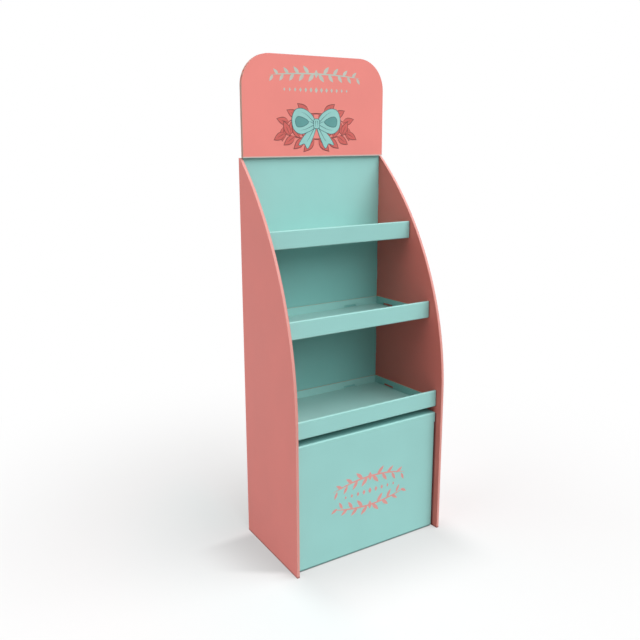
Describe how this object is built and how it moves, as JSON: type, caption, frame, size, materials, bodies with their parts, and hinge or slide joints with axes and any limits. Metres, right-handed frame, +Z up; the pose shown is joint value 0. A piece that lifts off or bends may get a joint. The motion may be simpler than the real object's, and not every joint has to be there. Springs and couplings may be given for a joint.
{
  "type": "cardboard display stand",
  "caption": "Floor-standing cardboard display stand with curved sides, a round-cornered header card, open shelf trays with front lips and a closed base.",
  "frame": {"origin": "on the floor, below the middle of the stand", "axes": "+X to the right of a person facing the shelves, +Y to the back, +Z up"},
  "size_m": [0.48, 0.2903, 1.308],
  "materials": {
    "coral_board": "coral printed board, matte",
    "header_board": "coral printed card, matte",
    "teal_board": "teal printed board, matte",
    "plain_board": "plain brown board"
  },
  "bodies": {
    "root": {"left_side_panel": "coral_board", "right_side_panel": "coral_board", "back_panel": "teal_board", "header_card": "header_board", "base_front_panel": "teal_board", "base_floor_tray": "plain_board", "base_support": "plain_board", "bottom_shelf_tray": "teal_board", "middle_shelf_tray": "teal_board", "top_shelf_tray": "teal_board"}
  },
  "joints": []
}
